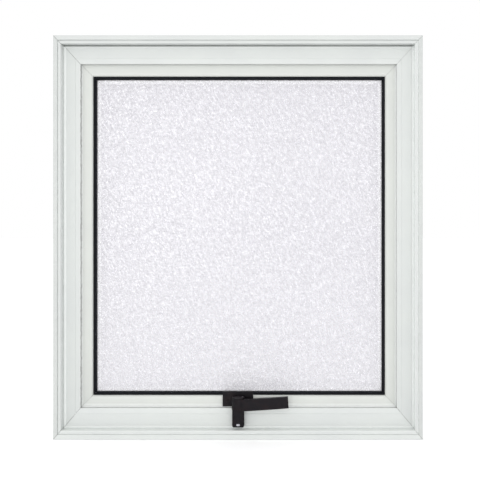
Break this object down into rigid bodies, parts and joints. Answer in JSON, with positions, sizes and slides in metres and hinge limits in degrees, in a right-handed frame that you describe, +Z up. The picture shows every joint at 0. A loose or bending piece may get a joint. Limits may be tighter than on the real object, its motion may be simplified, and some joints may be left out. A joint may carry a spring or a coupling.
{
  "type": "awning window",
  "caption": "Outward-opening awning window: white mitred aluminium frame and sash, obscured glass, black lever latch, equal-link stays with sliding shoes.",
  "frame": {"origin": "underside of the sill, halfway along it, in the plane of the frame's room face", "axes": "+X along the sill to the right as seen from the room, +Y outdoors, +Z up"},
  "size_m": [0.6, 0.0678, 0.656],
  "materials": {
    "white_coat": "white powder coat, satin",
    "white_plastic": "satin",
    "black_rubber": "matte",
    "obscured_glass": "textured",
    "black_coat": "satin",
    "nylon": "satin",
    "bare_aluminium": "satin",
    "steel": "satin"
  },
  "bodies": {
    "frame": {"frame_head": "white_coat", "frame_sill": "white_coat", "frame_jamb_left": "white_coat", "frame_jamb_right": "white_coat", "frame_corner_cleats": "bare_aluminium", "frame_corner_screws": "steel", "weather_seal_head": "black_rubber", "weather_seal_sill": "black_rubber", "weather_seal_left": "black_rubber", "weather_seal_right": "black_rubber", "drain_hoods": "white_plastic", "stay_track_left": "bare_aluminium", "stay_track_right": "bare_aluminium", "stay_track_screws": "steel", "stay_track_stops": "nylon", "stay_post_left": "steel", "stay_post_right": "steel"},
    "arm_left": {"stay_arm_left": "steel"},
    "sash": {"sash_head": "white_coat", "sash_sill": "white_coat", "sash_stile_left": "white_coat", "sash_stile_right": "white_coat", "sash_corner_cleats": "bare_aluminium", "sash_corner_screws": "steel", "sash_bar_left": "steel", "sash_bar_right": "steel", "sash_bar_screws": "steel", "glass_pane": "obscured_glass", "glazing_tapes": "black_rubber", "setting_blocks": "black_rubber", "gasket_head": "black_rubber", "gasket_sill": "black_rubber", "gasket_left": "black_rubber", "gasket_right": "black_rubber", "glazing_bead_head": "white_coat", "glazing_bead_sill": "white_coat", "glazing_bead_left": "white_coat", "glazing_bead_right": "white_coat", "latch_base": "black_coat", "latch_base_screws": "black_coat", "latch_pivot_pin": "black_coat"},
    "arm_right": {"stay_arm_right": "steel"},
    "shoe_left": {"stay_shoe_left": "nylon"},
    "shoe_right": {"stay_shoe_right": "nylon"},
    "latch": {"latch_handle": "black_coat", "latch_wear_pad": "nylon", "latch_washer": "steel"}
  },
  "joints": [
    {"name": "sash_opening", "type": "hinge", "parent": "frame", "child": "arm_left", "pos_m": [-0.274, 0.02, 0.3497], "axis": [-1, 0, 0], "range_deg": [0, 75]},
    {"name": "sash_swing", "type": "hinge", "parent": "arm_left", "child": "sash", "pos_m": [-0.27, 0.02, 0.4797], "axis": [1, 0, 0], "range_deg": [0, 150]},
    {"name": "arm_right_swing", "type": "hinge", "parent": "frame", "child": "arm_right", "pos_m": [0.274, 0.02, 0.3497], "axis": [-1, 0, 0], "range_deg": [0, 75]},
    {"name": "shoe_left_tilt", "type": "hinge", "parent": "sash", "child": "shoe_left", "pos_m": [-0.27, 0.02, 0.6097], "axis": [-1, 0, 0], "range_deg": [0, 75]},
    {"name": "shoe_right_tilt", "type": "hinge", "parent": "sash", "child": "shoe_right", "pos_m": [0.27, 0.02, 0.6097], "axis": [-1, 0, 0], "range_deg": [0, 75]},
    {"name": "latch_turn", "type": "hinge", "parent": "sash", "child": "latch", "pos_m": [0, -0.007, 0.0575], "axis": [0, -1, 0], "range_deg": [0, 90]}
  ],
  "couplings": [
    {"joint": "sash_swing", "follows": "sash_opening", "ratio": 2},
    {"joint": "arm_right_swing", "follows": "sash_opening", "ratio": 1},
    {"joint": "shoe_left_tilt", "follows": "sash_opening", "ratio": 1},
    {"joint": "shoe_right_tilt", "follows": "sash_opening", "ratio": 1}
  ]
}
